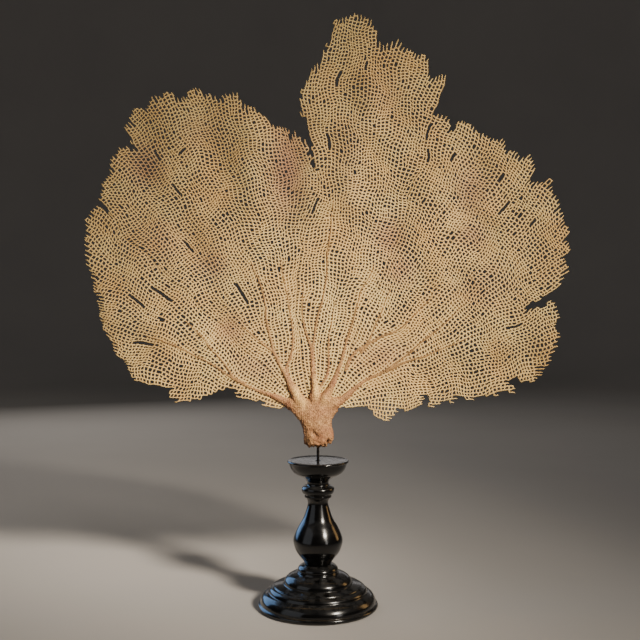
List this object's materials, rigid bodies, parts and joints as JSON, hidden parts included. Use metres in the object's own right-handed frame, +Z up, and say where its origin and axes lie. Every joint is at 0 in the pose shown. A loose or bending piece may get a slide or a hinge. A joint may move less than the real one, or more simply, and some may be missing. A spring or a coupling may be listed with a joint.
{
  "type": "sea fan on a turned stand",
  "caption": "Dried sea fan, a flat branching net of coral with ribs that fork from a short trunk, held upright by a thin pin on a black turned baluster stand with a dish top.",
  "frame": {"origin": "centre of the underside of the stand's foot", "axes": "+Z up, the fan lies in the X-Z plane and faces -Y"},
  "size_m": [0.4395, 0.108, 0.535],
  "materials": {
    "stand_lacquer": "turned wood under gloss black lacquer",
    "pin_steel": "dark oxidised steel",
    "coral_trunk": "dry fine-grained rind, pinkish brown",
    "coral_net": "dry matt chalky rind, straw tan with browner hollows"
  },
  "bodies": {
    "root": {"stand_foot": "stand_lacquer", "stand_stem": "stand_lacquer", "pin": "pin_steel", "trunk": "coral_trunk", "branch_far_left": "coral_net", "branch_left": "coral_net", "branch_centre": "coral_net", "branch_right": "coral_net", "branch_far_right": "coral_net"}
  },
  "joints": []
}
